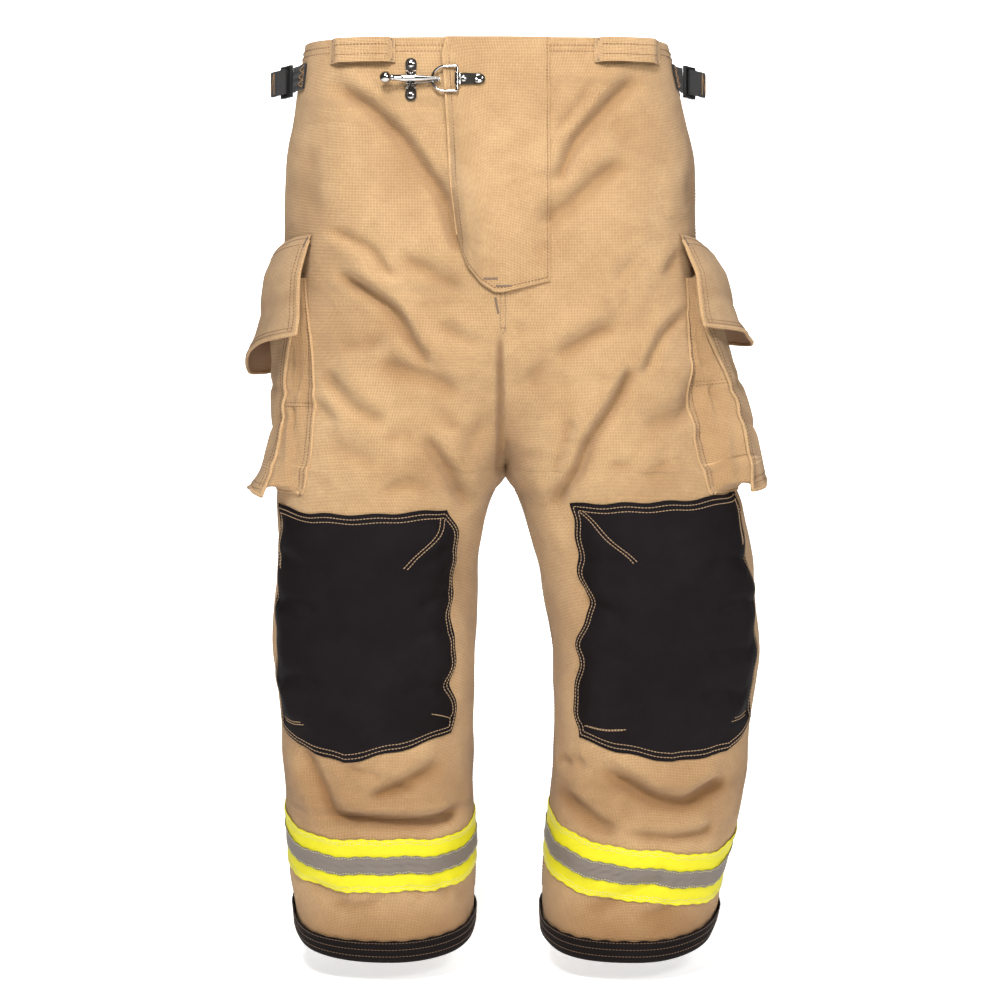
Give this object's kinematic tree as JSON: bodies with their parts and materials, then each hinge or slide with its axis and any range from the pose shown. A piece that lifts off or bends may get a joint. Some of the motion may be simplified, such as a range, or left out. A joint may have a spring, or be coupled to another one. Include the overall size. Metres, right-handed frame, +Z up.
{
  "type": "bunker pants",
  "caption": "Firefighter's turnout trousers with a hook-and-dee fly, bellows thigh pockets, padded leather knees, reflective leg trim and bound cuffs.",
  "frame": {"origin": "centre-front seam's plane at the level of the waist edge, halfway from front to back", "axes": "+Z up, the front of the trousers faces -Y, the wearer's left leg is at +X"},
  "size_m": [0.5323, 0.2986, 0.9125],
  "materials": {
    "shell_cloth": "matte ripstop aramid weave, tan",
    "liner_cloth": "quilted aramid liner",
    "knee_leather": "matte black, tan double stitching",
    "knee_foam": "closed-cell foam in cloth",
    "lime_tape": "fluorescent lime knit",
    "silver_tape": "silver retroreflective",
    "cuff_leather": "matte black binding",
    "hook_tape": "hook-and-loop tape",
    "webbing": "black woven webbing, tan bar tacks",
    "buckle_plastic": "moulded black plastic",
    "nickel": "bright nickel plate"
  },
  "bodies": {
    "pants": {"right_front_shell": "shell_cloth", "right_back_shell": "shell_cloth", "right_liner": "liner_cloth", "right_waist_facing": "liner_cloth", "right_pocket_panel": "shell_cloth", "right_pocket_gusset": "shell_cloth", "right_pocket_loop_tape": "hook_tape", "right_knee_patch": "knee_leather", "right_knee_pad": "knee_foam", "right_trim_tape": "lime_tape", "right_trim_stripe": "silver_tape", "right_cuff": "cuff_leather", "right_takeup_anchor": "webbing", "right_takeup_strap": "webbing", "right_front_suspender_loop": "shell_cloth", "right_rear_suspender_loop": "shell_cloth", "left_front_shell": "shell_cloth", "left_back_shell": "shell_cloth", "left_liner": "liner_cloth", "left_waist_facing": "liner_cloth", "left_pocket_panel": "shell_cloth", "left_pocket_gusset": "shell_cloth", "left_pocket_loop_tape": "hook_tape", "left_knee_patch": "knee_leather", "left_knee_pad": "knee_foam", "left_trim_tape": "lime_tape", "left_trim_stripe": "silver_tape", "left_cuff": "cuff_leather", "left_takeup_anchor": "webbing", "left_takeup_strap": "webbing", "left_front_suspender_loop": "shell_cloth", "left_rear_suspender_loop": "shell_cloth", "fly_flap": "shell_cloth", "fly_loop_tape": "hook_tape", "fly_hook_tape": "hook_tape", "hook_plate": "nickel", "hook_pin": "nickel", "hook_spring": "nickel", "hook_rivet_upper": "nickel", "hook_rivet_lower": "nickel", "dee_plate": "nickel", "dee_rivet_inner": "nickel", "dee_rivet_outer": "nickel"},
    "hook_lever": {"hook_lever": "nickel"},
    "dee": {"dee_ring": "nickel"},
    "right_pocket_flap": {"right_pocket_flap": "shell_cloth", "right_pocket_hook_tape": "hook_tape"},
    "right_takeup_buckle": {"right_takeup_buckle": "buckle_plastic"},
    "right_takeup_tail": {"right_takeup_tail": "webbing"},
    "left_pocket_flap": {"left_pocket_flap": "shell_cloth", "left_pocket_hook_tape": "hook_tape"},
    "left_takeup_buckle": {"left_takeup_buckle": "buckle_plastic"},
    "left_takeup_tail": {"left_takeup_tail": "webbing"}
  },
  "joints": [
    {"name": "hook_lever_press", "type": "hinge", "parent": "pants", "child": "hook_lever", "pos_m": [-0.08696, -0.13927, -0.04134], "axis": [-0.0015, -0.0802, -0.9968], "range_deg": [0, 14], "stiffness_Nm_per_rad": 0.02, "springref_deg": -11.46},
    {"name": "dee_play", "type": "hinge", "parent": "pants", "child": "dee", "pos_m": [-0.04165, -0.13924, -0.04141], "axis": [0.0015, 0.0802, 0.9968], "range_deg": [-0.6, 0.6]},
    {"name": "right_pocket_flap_lift", "type": "hinge", "parent": "pants", "child": "right_pocket_flap", "pos_m": [-0.22271, 0, -0.192], "axis": [0, 1, 0], "range_deg": [0, 100]},
    {"name": "left_pocket_flap_lift", "type": "hinge", "parent": "pants", "child": "left_pocket_flap", "pos_m": [0.20517, 0, -0.192], "axis": [0, -1, 0], "range_deg": [0, 100]},
    {"name": "right_buckle_tilt", "type": "hinge", "parent": "pants", "child": "right_takeup_buckle", "pos_m": [-0.20963, -0.04075, -0.0337], "axis": [0, 0, 1], "range_deg": [0, 35]},
    {"name": "left_buckle_tilt", "type": "hinge", "parent": "pants", "child": "left_takeup_buckle", "pos_m": [0.18566, -0.03609, -0.0337], "axis": [0, 0, -1], "range_deg": [0, 35]},
    {"name": "right_tail_pull", "type": "slide", "parent": "right_takeup_buckle", "child": "right_takeup_tail", "axis": [-0.4067, 0.9135, 0], "range_m": [0, 0.018]},
    {"name": "left_tail_pull", "type": "slide", "parent": "left_takeup_buckle", "child": "left_takeup_tail", "axis": [0.4067, 0.9135, 0], "range_m": [0, 0.018]}
  ]
}
